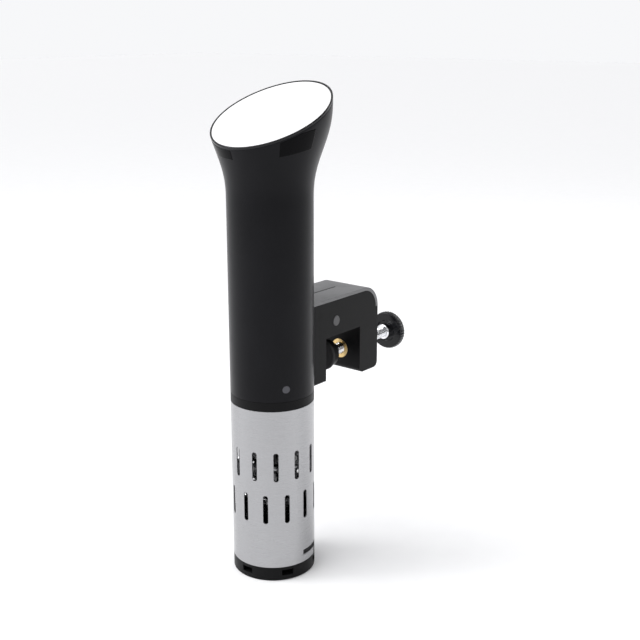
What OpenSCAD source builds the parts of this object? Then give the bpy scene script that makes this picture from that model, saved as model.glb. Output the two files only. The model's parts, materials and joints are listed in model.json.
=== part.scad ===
// Sous vide circulator: a flared black head with a sloping control face, a waist, a screw clamp
// that hooks over a pot's rim, and a steel skirt around the heater and the impeller.
// +Z is up, the control face slopes down to -Y and the clamp reaches out to +Y.
// The origin is the middle of the clamp's rim seat.

/* [Overall] */
// Full length, from the foot of the end cap to the highest point of the head
total_len = 325; // [320:1:400]
// Depth of the foot below the clamp's rim seat
reach = 156; // [150:1:190]

/* [Housing] */
// Radius of the straight waist
waist_r = 27.8; // [26:0.1:34]
// How far the head flares out past the waist
flare = 12; // [8:0.5:16]
// Height over which the head flares
flare_h = 63; // [50:1:75]
// Height of the straight band at the top of the head, at the back
crown_h = 9; // [6:1:14]
// Wall of the plastic housing
wall = 2.4; // [2:0.1:3]
// Slope of the control face in degrees, rising to the back
face_tilt = 26; // [20:1:32]
// Width of the trim ring's top
lip_w = 1.2; // [1:0.1:1.8]
// Depth of the housing's lower edge below the rim seat
neck_drop = 30; // [26:1:40]

/* [Control face] */
// Thickness of the control panel's lens
panel_t = 1.2; // [1:0.1:2.3]
// Depth of the display board under the face
board_depth = 12; // [10:0.5:16]
// Height above the rim seat of the lowest point of the small windows
window_z = 124.5; // [112:0.5:126]
// Height of the small windows
window_h = 13; // [6:1:14]
// Slope in degrees of the small windows' lower edges
window_tilt = 11; // [0:1:20]
// Thickness of the small windows
window_t = 0.7; // [0.5:0.1:0.9]

/* [Clamp] */
// Height of the clamp's arm above the rim seat
arm_h = 27; // [24:1:34]
// Width of the clamp
arm_w = 36; // [32:1:44]
// Opening between the fixed jaw and the leg
throat = 38; // [32:1:50]
// Thickness of the fixed jaw beyond the waist
jaw_t = 7.2; // [5:0.1:10]
// Thickness of the leg that holds the screw
leg_t = 21; // [16:1:26]
// Depth of the leg below the rim seat
leg_drop = 34; // [33:1:44]
// Radius of the arm's outer top corner
corner_r = 16; // [10:1:20]
// Depth of the screw's axis below the rim seat
screw_drop = 19; // [16:1:20]
// Major diameter of the clamp screw
screw_d = 8; // [6:0.5:10]
// Width of the knob
knob_d = 28; // [24:1:32]
// Thickness of the knob
knob_t = 6.5; // [5:0.5:10]
// Space held between the rubber strip and the pressure pad
grip = 15; // [6:1:20]
// Space between the leg and the knob
knob_gap = 36; // [24:1:40]

/* [Pump and heater] */
// Diameter of the motor shaft and of the drive shaft
shaft_d = 4; // [3:0.5:5]
// Diameter of the motor
motor_d = 35; // [28:1:38]
// Length of the motor
motor_len = 40; // [32:1:44]
// Radius of the heater's coil, at its tube's centre line
coil_r = 17; // [15:0.5:17.5]
// Diameter of the heater's tube
heater_d = 6.4; // [5:0.2:7]
// Outer radius of the impeller's blades
impeller_r = 14; // [10:0.5:16]
// Wall of the steel skirt
skirt_t = 0.8; // [0.6:0.1:1.2]
// Number of intake slots around the skirt
slot_count = 12; // [8:1:14]
// Width of an intake slot
slot_w = 3.4; // [2.5:0.1:4.5]

/* [Hidden] */
$fn = 64;

// Small gaps: a seated fit, a turning or sliding fit, and a loose one
seat = 0.05;
run = 0.06;
loose = 0.3;
// Length that a cut runs past the face it opens
past = 1;
// Depth of the control panel's top below the trim ring's, and the ring's height
panel_sink = 0.3;
lip_h = panel_sink + panel_t;

// Heights
top_z = total_len - reach;
foot_z = -reach;
house_z = -neck_drop;
flare_top = top_z - crown_h;
flare_foot = flare_top - flare_h;
flare_steps = 14;
head_r = waist_r + flare;
bore_r = waist_r - wall;
face_axis_z = top_z - head_r * tan(face_tilt);

// Clamp, along Y from the origin at the middle of the throat
jaw_y = -throat / 2;
leg_in = throat / 2;
leg_out = leg_in + leg_t;
axis_y = jaw_y - jaw_t - waist_r;
cheek_t = 3;
floor_t = 3;
cover_t = 2.4;
leg_corner = 4;
strip_t = 1.5;
pin_r = 2.6;
cap_r = 3.5;
cap_proud = 0.3;
pin_y = leg_out - 48;
pin_z = arm_h * 0.38;
lug_w = 22;
lug_end = pin_y + 7;
lug_top = arm_h - cover_t - 3;
groove_w = 1.2;
groove_end = 26;
insert_r = screw_d / 2 + 3;

// Clamp screw, along Y
pad_y = jaw_y + strip_t + grip;
pad_t = 3;
cup_t = 6;
pad_r = 11;
socket_depth = 4;
tip_r = screw_d / 2 - 1;
hub_len = 5;
hub_r = screw_d / 2 + 1.6;
knob_y = leg_out + knob_gap;

// Bulkhead between the housing and the skirt
plug_h = 12;
flange_h = 6;
spigot_h = 12;
flange_z = house_z - flange_h;
spigot_z = flange_z - spigot_h;
plug_top = house_z + plug_h;
skirt_in = waist_r - skirt_t;
spigot_r = skirt_in - loose;
ring_r = 0.8;
ring_squeeze = 0.1;
plug_groove_r = bore_r - 2 * ring_r;
spigot_groove_r = skirt_in - run - 2 * ring_r;
bearing_r = 5.5;
bearing_h = 4;
seal_r = 5;
seal_h = 5;
shaft_r = shaft_d / 2;

// Motor and drive line
mount_z = 10;
mount_t = 3;
motor_z = mount_z + mount_t;
motor_r = motor_d / 2;
motor_top = motor_z + motor_len;
can_t = 1.5;
end_t = 3;
rotor_r = motor_r - 6;
fan_z = motor_top + 5;
fan_h = 8;
fan_r = motor_r - 0.5;
coupling_r = 6;
coupling_h = 16;
coupling_z = -9;
shaft_joint_z = coupling_z + coupling_h / 2;
post_r = 3;
post_at = bore_r - 5;

// Impeller, end cap and skirt
impeller_h = 12;
impeller_z = foot_z + 11;
nut_h = 3;
cap_h = 9;
cap_plug_h = 14;
cap_wall = 2;
lug_z = foot_z + cap_h + 7;
lug_angle = 30;
skirt_top = flange_z - 0.2;
skirt_foot = foot_z + cap_h + 0.2;
slot_h = 20;
slot_rows = 2;
slot_pitch = 30;
slot_low = skirt_foot + 32;

// Heater coil: legs from the bulkhead, then turns down around the shaft
coil_top = spigot_z - 14;
coil_turns = 3;
coil_pitch = heater_d + 6;
coil_bend = 8;
inner_leg_r = max(coil_r - heater_d - 1.6, bearing_r + heater_d / 2 + loose);
coil_angles = 16;

// Level pins and probe stand between the coil and the skirt
rod_at = (coil_r + heater_d / 2 + plug_groove_r) / 2;
probe_angle = 140;
probe_r = 1.3;
level_r = 1;
level_sleeve_r = 1.5;
// Bearing of each level pin and how far it reaches below the spigot
level_pin_set = [[235, 30], [265, 58]];

// Boards in the head
board_t = 1.6;
power_y = axis_y + 8;
power_z = fan_z + fan_h + 8;
power_top = face_axis_z + 8 * tan(face_tilt) - board_depth / cos(face_tilt) - 7;
power_w = 2 * sqrt(pow(bore_r - 1.2, 2) - 100);

// Small windows: bearing from -Y, half their angle, and the gap under the trim ring
window_bearings = [-20, 70, 250];
window_half = 19;
window_gap = 0.5;

// Air vents and cord gland at the back of the head
vent_count = 5;
vent_pitch = 4.4;
vent_w = 24;
vent_z = flare_top - 8;
gland_z = flare_foot + 14;
gland_r = 7;
gland_bore = 3.6;

// Radius of the housing at height z: a waist that eases out into the head
function ease(t) = t <= 0 ? 0 : t >= 1 ? 1 : t * t * (3 - 2 * t);
function body_r(z) = waist_r + flare * ease((z - flare_foot) / flare_h);

module on_axis() translate([0, axis_y, 0]) children();

module ring_of(count, start = 0) {
    for (i = [0 : count - 1]) rotate([0, 0, start + i * 360 / count]) children();
}

module tube(r_out, r_in, z, h) {
    translate([0, 0, z]) difference() {
        cylinder(h = h, r = r_out);
        translate([0, 0, -past]) cylinder(h = h + 2 * past, r = r_in);
    }
}

// A cylinder along +Y on the clamp screw's axis
module along_screw(y, len, r) {
    translate([0, y, -screw_drop]) rotate([-90, 0, 0]) cylinder(h = len, r = r);
}

// A plate cut from a drawing of Y across and Z up
module side_plate(w) rotate([90, 0, 90]) linear_extrude(height = w, center = true) children();

// The housing's solid of revolution, drawn in by inset all round
module trumpet(inset) {
    on_axis() rotate_extrude() polygon(concat(
        [[0, house_z], [waist_r - inset, house_z]],
        [for (i = [0 : flare_steps]) let (z = flare_foot + flare_h * i / flare_steps)
            [body_r(z) - inset, z]],
        [[head_r - inset, top_z + 3 * past], [0, top_z + 3 * past]]));
}

// Everything between two depths under the sloping control face
module under_face(deep, shallow) {
    on_axis() translate([0, 0, face_axis_z]) rotate([face_tilt, 0, 0])
        translate([-2 * head_r, -2 * head_r, -deep])
            cube([4 * head_r, 4 * head_r, deep - shallow]);
}

module on_face(x, y, deep) {
    on_axis() translate([0, 0, face_axis_z]) rotate([face_tilt, 0, 0])
        translate([x, y, -deep]) children();
}

// A wedge from the axis, half_angle to each side of the given bearing from -Y
module wedge(bearing, half_angle) {
    far = 3 * head_r;
    on_axis() rotate([0, 0, bearing]) linear_extrude(height = top_z)
        polygon([[0, 0], [-far * sin(half_angle), -far * cos(half_angle)],
                 [far * sin(half_angle), -far * cos(half_angle)]]);
}

// A sloping slab that holds the small windows' height
module window_band(grow) {
    on_axis() translate([0, 0, window_z + body_r(window_z) * tan(window_tilt) - grow])
        rotate([window_tilt, 0, 0]) translate([-2 * head_r, -2 * head_r, 0])
            cube([4 * head_r, 4 * head_r, window_h + 2 * grow]);
}

// The space that a small window takes up at the surface; grow opens it to a pocket's size
module window_space(bearing, grow) {
    intersection() {
        wedge(bearing, window_half + grow);
        window_band(grow);
        under_face(2 * head_r, lip_h + window_gap - grow);
    }
}

module window(bearing) {
    intersection() {
        difference() {
            trumpet(0);
            trumpet(window_t);
        }
        window_space(bearing, 0);
    }
}

// ---- Housing and control face ----

module upper_housing() {
    color("#17171a") difference() {
        union() {
            trumpet(0);
            translate([-lug_w / 2, axis_y + waist_r - wall / 2, floor_t + loose])
                cube([lug_w, lug_end - axis_y - waist_r + wall / 2, lug_top - floor_t - loose]);
        }
        trumpet(wall);
        on_axis() translate([0, 0, house_z - past]) cylinder(h = plug_h, r = bore_r);
        under_face(lip_h, -4 * head_r);
        for (bearing = window_bearings) difference() {
            window_space(bearing, seat);
            trumpet(window_t + seat);
        }
        translate([0, pin_y, pin_z]) rotate([0, 90, 0])
            cylinder(h = arm_w, r = pin_r + seat, center = true);
        translate([0, axis_y, gland_z]) rotate([-90, 0, 0]) cylinder(h = 2 * head_r, r = gland_r + seat);
        for (i = [0 : vent_count - 1])
            translate([-vent_w / 2, axis_y + bore_r, vent_z + i * vent_pitch])
                cube([vent_w, 2 * flare + wall + past, vent_pitch / 2]);
        screw_ring(1.5 + seat, 2.6 + seat);
    }
}

module face_bezel() {
    color("#0f0f11") difference() {
        intersection() {
            trumpet(0);
            under_face(lip_h, 0);
        }
        trumpet(lip_w);
    }
}

module control_panel() {
    color("#f7f6f7") intersection() {
        trumpet(lip_w + seat);
        under_face(lip_h, panel_sink);
    }
}

module front_window() {
    color("#26262b") window(window_bearings[0]);
}

module side_windows() {
    color("#26262b") for (i = [1 : len(window_bearings) - 1]) window(window_bearings[i]);
}

module display_board() {
    color("darkgreen") intersection() {
        trumpet(wall + 1);
        under_face(board_depth, board_depth - board_t);
    }
}

module display_module() {
    deep = board_depth - board_t;
    color("black") on_face(-16, -7, deep) cube([32, 18, deep - panel_t - panel_sink - loose]);
}

module touch_springs() {
    deep = board_depth - board_t;
    color("gold") for (x = [-14, 0, 14])
        on_face(x, -18, deep) cylinder(h = deep - panel_t - panel_sink - loose, r = 2.4);
}

module buzzer() {
    color("dimgray") on_face(12, 4, board_depth + 5) cylinder(h = 5, r = 6);
}

// ---- Electronics ----

module power_board() {
    color("seagreen") translate([-power_w / 2, power_y, power_z])
        cube([power_w, board_t, power_top - power_z]);
}

module transformer() {
    color("goldenrod") translate([-11, power_y - 15, power_z + 26]) union() {
        cube([20, 15, 4]);
        translate([2, 1, 4]) cube([16, 13, 10]);
        translate([0, 0, 14]) cube([20, 15, 4]);
    }
}

module capacitors() {
    color("darkslateblue") for (x = [-8, 6])
        translate([x, power_y - 6.5, power_z + 3]) cylinder(h = 20, r = 6.4);
}

module relay() {
    color("royalblue") translate([-9, power_y - 11, power_z + 46]) cube([18, 11, 10]);
}

module heatsink() {
    fins = 5;
    color("silver") translate([-13, power_y + board_t, power_z + 4]) union() {
        cube([26, 2, 34]);
        for (i = [0 : fins - 1]) translate([i * (26 - 1.6) / (fins - 1), 0, 0]) cube([1.6, 8, 34]);
    }
}

module cord_gland() {
    color("#151517") translate([0, axis_y, gland_z]) rotate([-90, 0, 0]) difference() {
        union() {
            translate([0, 0, bore_r - 4]) cylinder(h = body_r(gland_z) - bore_r + 12, r = gland_r);
            translate([0, 0, bore_r - 6]) cylinder(h = 3, r = gland_r + 1.5);
        }
        translate([0, 0, bore_r - 6 - past]) cylinder(h = 2 * head_r, r = gland_bore);
    }
}

// ---- Motor ----

module motor_can() {
    color("lightsteelblue") on_axis() difference() {
        translate([0, 0, motor_z]) cylinder(h = motor_len, r = motor_r);
        translate([0, 0, motor_z + end_t]) cylinder(h = motor_len - 2 * end_t, r = motor_r - can_t);
        cylinder(h = motor_top + past, r = shaft_r + run);
        ring_of(3, 60) translate([motor_r - 6, 0, motor_z - past]) cylinder(h = 3, r = 1.3 + seat);
    }
}

module motor_stator() {
    color("chocolate") on_axis()
        tube(motor_r - can_t - seat, rotor_r + 0.8, motor_z + end_t + 3, motor_len - 2 * end_t - 6);
}

module motor_mount() {
    color("gray") on_axis() difference() {
        translate([0, 0, mount_z]) cylinder(h = mount_t, r = bore_r - loose);
        translate([0, 0, mount_z - past]) cylinder(h = mount_t + 2 * past, r = coupling_r + 2);
        ring_of(3, 60) translate([motor_r - 6, 0, mount_z - past])
            cylinder(h = mount_t + 2 * past, r = 1.3 + seat);
    }
}

module motor_screws() {
    color("silver") on_axis() ring_of(3, 60) translate([motor_r - 6, 0, mount_z - 2]) union() {
        cylinder(h = 2, r = 2.4);
        cylinder(h = 2 + mount_t + 1.8, r = 1.3);
    }
}

module mount_posts() {
    color("silver") on_axis() ring_of(3, 60) translate([post_at, 0, plug_top])
        cylinder(h = mount_z - plug_top, r = post_r, $fn = 6);
}

// ---- Bulkhead, seals and what hangs from it ----

// Four countersunk screws that hold the housing to the bulkhead's plug
module screw_ring(r, head) {
    on_axis() for (a = [30, 150, 210, 330]) rotate([0, 0, a])
        translate([0, 0, house_z + 8.5]) rotate([0, 90, 0]) union() {
            translate([0, 0, waist_r - 8]) cylinder(h = 8, r = r);
            translate([0, 0, waist_r - 1.6]) cylinder(h = 1.6 + (r > 1.5 ? past : 0), r = head);
        }
}

module leg_holes(extra) {
    rod_z = spigot_z - past;
    h = plug_top - spigot_z + 2 * past;
    translate([coil_r, 0, rod_z]) cylinder(h = h, r = heater_d / 2 + extra);
    rotate([0, 0, coil_end_angle()]) translate([inner_leg_r, 0, rod_z])
        cylinder(h = h, r = heater_d / 2 + extra);
    rotate([0, 0, probe_angle]) translate([rod_at, 0, rod_z]) cylinder(h = h, r = probe_r + extra);
    for (pin = level_pin_set) rotate([0, 0, pin[0]]) translate([rod_at, 0, rod_z])
        cylinder(h = h, r = level_sleeve_r + extra);
}

module bulkhead() {
    color("#1c1c20") difference() {
        on_axis() difference() {
            union() {
                translate([0, 0, house_z]) cylinder(h = plug_h, r = bore_r - seat);
                translate([0, 0, flange_z]) cylinder(h = flange_h, r = waist_r);
                translate([0, 0, spigot_z]) cylinder(h = spigot_h, r = spigot_r);
            }
            tube(waist_r, plug_groove_r, house_z + 2.5, 2 * ring_r + 0.4);
            tube(waist_r, spigot_groove_r, spigot_z + 4, 2 * ring_r + 0.4);
            translate([0, 0, spigot_z - past]) cylinder(h = 2 * plug_h + 2 * spigot_h, r = shaft_r + 1);
            translate([0, 0, plug_top - bearing_h]) cylinder(h = bearing_h + past, r = bearing_r + seat);
            translate([0, 0, spigot_z - past]) cylinder(h = seal_h + past, r = seal_r + seat);
            leg_holes(seat);
        }
        screw_ring(1.5 + seat, 2.6 + seat);
    }
}

module housing_screws() {
    color("dimgray") screw_ring(1.5, 2.6);
}

// A rubber ring, squeezed flat against the wall it seals
module squeezed_ring(r_wall, z) {
    on_axis() translate([0, 0, z]) rotate_extrude() intersection() {
        translate([r_wall - ring_r + ring_squeeze, 0]) circle(r = ring_r, $fn = 32);
        translate([r_wall - 3 * ring_r, -ring_r]) square([3 * ring_r, 2 * ring_r]);
    }
}

module housing_seal() {
    color("#303034") squeezed_ring(bore_r, house_z + 2.5 + ring_r + 0.2);
}

module skirt_seal() {
    color("#303034") squeezed_ring(skirt_in - run, spigot_z + 4 + ring_r + 0.2);
}

module shaft_bearing() {
    color("silver") on_axis() tube(bearing_r, shaft_r + run, plug_top - bearing_h, bearing_h);
}

module shaft_seal() {
    color("#303034") on_axis() tube(seal_r, shaft_r + run, spigot_z, seal_h);
}

// Points of the heater's tube as radius, angle and height
function coil_start_angle() = coil_bend / coil_r * 180 / PI;
function coil_foot() = coil_top - coil_bend - coil_turns * coil_pitch;
function spiral_end() = coil_start_angle() + coil_turns * 360 + 180;
function coil_end_angle() = spiral_end() + coil_bend / inner_leg_r * 180 / PI;
bend_angles = [0 : 15 : 75];
coil_route = concat(
    [for (z = [plug_top + 6, spigot_z]) [coil_r, 0, z]],
    [for (a = bend_angles)
        [coil_r, coil_start_angle() * (1 - cos(a)), coil_top - coil_bend * sin(a)]],
    [for (i = [0 : coil_turns * coil_angles - 1])
        [coil_r, coil_start_angle() + 360 * i / coil_angles,
         coil_top - coil_bend - coil_pitch * i / coil_angles]],
    [for (i = [0 : 7])
        [coil_r + (inner_leg_r - coil_r) * ease(i / 8),
         coil_start_angle() + 360 * coil_turns + 180 * i / 8, coil_foot()]],
    [for (a = bend_angles)
        [inner_leg_r, spiral_end() + (coil_end_angle() - spiral_end()) * sin(a),
         coil_foot() + coil_bend * (1 - cos(a))]],
    [for (z = [coil_foot() + coil_bend, spigot_z, plug_top + 6]) [inner_leg_r, coil_end_angle(), z]]);

function unit(v) = v / norm(v);
function place(p) = [p[0] * cos(p[1]), p[0] * sin(p[1]), p[2]];

// A round tube of radius r through points given as radius, angle and height
module swept_tube(route, r, sides = 10) {
    last = len(route) - 1;
    rings = [for (i = [0 : last])
        let (way = unit(place(route[min(i + 1, last)]) - place(route[max(i - 1, 0)])),
             radial = [cos(route[i][1]), sin(route[i][1]), 0],
             side = unit(radial - way * (radial * way)),
             up = cross(way, side))
        for (j = [0 : sides - 1])
            place(route[i]) + r * (cos(j * 360 / sides) * side + sin(j * 360 / sides) * up)];
    skin = [for (i = [0 : last - 1]) for (j = [0 : sides - 1])
        let (a = i * sides + j, b = i * sides + (j + 1) % sides)
            [a, a + sides, b + sides, b]];
    polyhedron(points = rings, convexity = 10, faces = concat(skin,
        [[for (j = [0 : sides - 1]) j]],
        [[for (j = [sides - 1 : -1 : 0]) last * sides + j]]));
}

module heater_coil() {
    color("silver") on_axis() swept_tube(coil_route, heater_d / 2);
}

module temperature_probe() {
    len = plug_top - spigot_z + 62;
    color("silver") on_axis() rotate([0, 0, probe_angle]) translate([rod_at, 0, spigot_z - 62]) union() {
        cylinder(h = len, r = probe_r);
        sphere(r = probe_r);
    }
}

module level_pins() {
    color("silver") on_axis() for (pin = level_pin_set) rotate([0, 0, pin[0]])
        translate([rod_at, 0, spigot_z]) union() {
            translate([0, 0, -8]) cylinder(h = plug_top - spigot_z + 8, r = level_sleeve_r);
            translate([0, 0, -pin[1]]) cylinder(h = pin[1], r = level_r);
        }
}

// ---- Clamp ----

// The arm's top skin: a flat strip that turns down around the outer corner
module cover_outline() {
    corner = [leg_out - corner_r, arm_h - corner_r];
    translate([axis_y, arm_h - cover_t]) square([corner[0] - axis_y, cover_t]);
    intersection() {
        translate(corner) difference() {
            circle(r = corner_r);
            circle(r = corner_r - cover_t);
        }
        translate(corner) square([corner_r, corner_r]);
    }
}

module bracket_outline() {
    translate([axis_y, 0]) square([leg_out - corner_r - axis_y, arm_h]);
    square([leg_out, arm_h - corner_r]);
    translate([leg_out - corner_r, arm_h - corner_r]) intersection() {
        circle(r = corner_r);
        square([corner_r, corner_r]);
    }
    translate([axis_y, -neck_drop]) square([jaw_y - axis_y, neck_drop + past]);
    translate([leg_in, leg_corner - leg_drop]) square([leg_t, leg_drop - leg_corner + past]);
    translate([leg_in + leg_corner, -leg_drop])
        square([leg_t - 2 * leg_corner, leg_corner + past]);
    for (y = [leg_in + leg_corner, leg_out - leg_corner])
        translate([y, leg_corner - leg_drop]) circle(r = leg_corner);
}

module clamp_bracket() {
    color("#121214") difference() {
        side_plate(arm_w) difference() {
            bracket_outline();
            cover_outline();
        }
        on_axis() translate([0, 0, -leg_drop - past])
            cylinder(h = leg_drop + arm_h + 2 * past, r = waist_r + seat);
        translate([cheek_t - arm_w / 2, axis_y, floor_t])
            cube([arm_w - 2 * cheek_t, leg_out - corner_r - axis_y, arm_h - floor_t - cover_t]);
        translate([0, pin_y, pin_z]) rotate([0, 90, 0])
            cylinder(h = arm_w + past, r = cap_r + seat, center = true);
        along_screw(leg_in - past, leg_t + 2 * past, insert_r + seat);
    }
}

module clamp_cover() {
    color("#5f5f62") difference() {
        side_plate(arm_w) cover_outline();
        on_axis() cylinder(h = arm_h + past, r = waist_r + seat);
        translate([-groove_w / 2, axis_y, arm_h - groove_w / 2])
            cube([groove_w, leg_out - groove_end - axis_y, groove_w]);
    }
}

module clamp_pin() {
    color("silver") translate([0, pin_y, pin_z]) rotate([0, 90, 0])
        cylinder(h = arm_w - 2 * cheek_t, r = pin_r, center = true);
}

module pin_caps() {
    color("#47474a") for (side = [-1, 1])
        translate([side * (arm_w - cheek_t + cap_proud) / 2, pin_y, pin_z]) rotate([0, 90, 0])
            cylinder(h = cheek_t + cap_proud, r = cap_r, center = true);
}

module wall_strip() {
    color("#2b2b2e") translate([-arm_w / 3, jaw_y, 3 - neck_drop])
        cube([arm_w * 2 / 3, strip_t, neck_drop - 6]);
}

module threaded_insert() {
    color("#b5893c") difference() {
        along_screw(leg_in, leg_t, insert_r);
        along_screw(leg_in - past, leg_t + 2 * past, screw_d / 2 + run);
    }
}

module pad_cup() {
    color("#1a1a1d") difference() {
        along_screw(pad_y + pad_t, cup_t, pad_r - 1.5);
        along_screw(pad_y + pad_t + cup_t - socket_depth, socket_depth + past, tip_r + run);
    }
}

module pressure_pad() {
    color("#2b2b2e") along_screw(pad_y, pad_t, pad_r);
}

module clamp_screw() {
    tip_y = pad_y + pad_t + cup_t - socket_depth + 0.2;
    color("gainsboro") {
        along_screw(tip_y, socket_depth, tip_r);
        along_screw(tip_y + socket_depth, knob_y - tip_y, screw_d / 2);
    }
}

module screw_hub() {
    color("whitesmoke") difference() {
        along_screw(knob_y - hub_len, hub_len, hub_r);
        along_screw(knob_y - hub_len - past, hub_len + 2 * past, screw_d / 2 + 0.02);
    }
}

module knob() {
    color("#191a20") difference() {
        along_screw(knob_y, knob_t, knob_d / 2);
        along_screw(knob_y - past, past + socket_depth + 0.25, screw_d / 2 + 0.02);
    }
}

// ---- Drive line ----

module motor_rotor() {
    color("silver") on_axis() union() {
        translate([0, 0, shaft_joint_z]) cylinder(h = fan_z + fan_h + 2 - shaft_joint_z, r = shaft_r);
        translate([0, 0, motor_z + end_t + 4])
            cylinder(h = motor_len - 2 * end_t - 8, r = rotor_r);
    }
}

module cooling_fan() {
    blades = 7;
    color("#202024") on_axis() translate([0, 0, fan_z]) difference() {
        union() {
            cylinder(h = fan_h, r = 5);
            ring_of(blades) translate([4, 0, fan_h / 2]) rotate([40, 0, 0])
                translate([0, -fan_h / 2 - 0.6, -0.6]) cube([fan_r - 4.4, fan_h + 1.2, 1.2]);
        }
        translate([0, 0, -past]) cylinder(h = fan_h + 2 * past, r = shaft_r + 0.02);
    }
}

module shaft_coupling() {
    color("silver") on_axis() tube(coupling_r, shaft_r + 0.02, coupling_z, coupling_h);
}

module drive_shaft() {
    color("silver") on_axis() translate([0, 0, impeller_z - nut_h])
        cylinder(h = shaft_joint_z - 0.2 - impeller_z + nut_h, r = shaft_r);
}

module impeller() {
    blades = 6;
    color("#2a2a2e") on_axis() translate([0, 0, impeller_z]) difference() {
        union() {
            cylinder(h = impeller_h, r = 4.6);
            ring_of(blades) translate([3.6, 0, impeller_h / 2]) rotate([50, 0, 0])
                translate([0, -5.5, -0.7]) cube([impeller_r - 4.2, 11, 1.4]);
        }
        translate([0, 0, -past]) cylinder(h = impeller_h + 2 * past, r = shaft_r + 0.02);
    }
}

module impeller_nut() {
    color("silver") on_axis() translate([0, 0, impeller_z - nut_h]) difference() {
        cylinder(h = nut_h, r = 3.6, $fn = 6);
        translate([0, 0, -past]) cylinder(h = nut_h + 2 * past, r = shaft_r + 0.02);
    }
}

// ---- Skirt and end cap ----

// A slot through the skirt's wall with chamfered ends
module slot_cut(w, h) {
    tip = w / 4;
    end = w / 3;
    rotate([90, 0, 0]) linear_extrude(height = waist_r + past) polygon([
        [-tip, 0], [tip, 0], [w / 2, end], [w / 2, h - end],
        [tip, h], [-tip, h], [-w / 2, h - end], [-w / 2, end]]);
}

module steel_skirt() {
    lug_w_cut = 3.6;
    color("gainsboro") on_axis() difference() {
        tube(waist_r, skirt_in, skirt_foot, skirt_top - skirt_foot);
        for (row = [0 : slot_rows - 1])
            ring_of(slot_count, row * 180 / slot_count)
                translate([0, 0, slot_low + row * slot_pitch]) slot_cut(slot_w, slot_h);
        // Bayonet slots: a run for the lug to turn in and a way out at its end
        ring_of(2) rotate([0, 0, -4]) translate([0, 0, lug_z - 1.8])
            rotate_extrude(angle = lug_angle + 8) translate([skirt_in - past, 0])
                square([skirt_t + 2 * past, lug_w_cut]);
        ring_of(2, lug_angle) translate([skirt_in - past, -lug_w_cut / 2, skirt_foot - past])
            cube([skirt_t + 2 * past, lug_w_cut, lug_z - skirt_foot + past]);
    }
}

module end_cap() {
    plug_r = skirt_in - 0.2;
    holes = 8;
    windows = 6;
    color("#1a1a1d") on_axis() difference() {
        union() {
            translate([0, 0, foot_z]) cylinder(h = cap_h, r = waist_r);
            translate([0, 0, foot_z + cap_h]) cylinder(h = cap_plug_h, r = plug_r);
            ring_of(2) translate([plug_r - 1, -1.5, lug_z - 1.5]) cube([1.7, 3, 3]);
        }
        translate([0, 0, foot_z + cap_wall])
            cylinder(h = cap_h + cap_plug_h, r = plug_r - cap_wall);
        ring_of(holes) translate([impeller_r - 4, 0, foot_z - past])
            cylinder(h = cap_wall + 2 * past, r = 2.6);
        translate([0, 0, foot_z - past]) cylinder(h = cap_wall + 2 * past, r = 4);
        ring_of(windows, 30) translate([plug_r - cap_wall - past, -4, foot_z + cap_wall + 1])
            cube([3 * cap_wall + past, 8, cap_h - cap_wall - 3]);
    }
}

upper_housing();
face_bezel();
control_panel();
front_window();
side_windows();
display_board();
display_module();
touch_springs();
buzzer();
power_board();
transformer();
capacitors();
relay();
heatsink();
cord_gland();
motor_can();
motor_stator();
motor_mount();
motor_screws();
mount_posts();
bulkhead();
housing_screws();
housing_seal();
skirt_seal();
shaft_bearing();
shaft_seal();
heater_coil();
temperature_probe();
level_pins();
clamp_bracket();
clamp_cover();
clamp_pin();
pin_caps();
wall_strip();
threaded_insert();
motor_rotor();
cooling_fan();
shaft_coupling();
drive_shaft();
impeller();
impeller_nut();
steel_skirt();
end_cap();
pad_cup();
pressure_pad();
clamp_screw();
screw_hub();
knob();
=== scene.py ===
"""Sous vide circulator: the looks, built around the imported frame."""

import json
import math

import bmesh
import bpy
import numpy as np
from bpy.props import FloatProperty, FloatVectorProperty, IntProperty, PointerProperty
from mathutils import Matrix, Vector


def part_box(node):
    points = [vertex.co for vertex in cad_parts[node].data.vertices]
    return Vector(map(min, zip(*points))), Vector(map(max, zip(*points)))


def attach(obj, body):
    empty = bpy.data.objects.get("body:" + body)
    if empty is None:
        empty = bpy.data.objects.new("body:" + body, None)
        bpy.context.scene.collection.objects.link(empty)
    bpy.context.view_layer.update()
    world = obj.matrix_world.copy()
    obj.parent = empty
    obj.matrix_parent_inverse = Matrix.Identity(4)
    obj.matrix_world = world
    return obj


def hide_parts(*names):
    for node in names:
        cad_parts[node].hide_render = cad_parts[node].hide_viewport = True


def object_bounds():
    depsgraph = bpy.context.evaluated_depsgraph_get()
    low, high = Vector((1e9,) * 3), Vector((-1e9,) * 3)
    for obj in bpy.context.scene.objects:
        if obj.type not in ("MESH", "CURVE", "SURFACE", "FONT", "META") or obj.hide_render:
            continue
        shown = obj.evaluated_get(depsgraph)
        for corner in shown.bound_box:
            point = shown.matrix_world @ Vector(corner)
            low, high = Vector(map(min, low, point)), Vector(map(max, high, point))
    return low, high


bl_info = {
    "name": "Sous Vide Circulator",
    "version": (1, 0, 0),
    "blender": (4, 5, 0),
    "location": "View3D > Sidebar > Circulator",
    "description": "Builds the visible surfaces and finishes of a clamp-on circulator",
    "category": "Object",
}

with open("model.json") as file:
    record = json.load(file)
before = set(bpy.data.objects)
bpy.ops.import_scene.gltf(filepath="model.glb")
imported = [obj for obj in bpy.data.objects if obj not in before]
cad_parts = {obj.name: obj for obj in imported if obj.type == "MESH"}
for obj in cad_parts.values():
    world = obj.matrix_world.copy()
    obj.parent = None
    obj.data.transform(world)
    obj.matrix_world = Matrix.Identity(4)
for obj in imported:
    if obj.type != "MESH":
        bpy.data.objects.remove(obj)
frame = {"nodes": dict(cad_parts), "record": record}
cad_box = [list(corner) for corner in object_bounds()]

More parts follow.
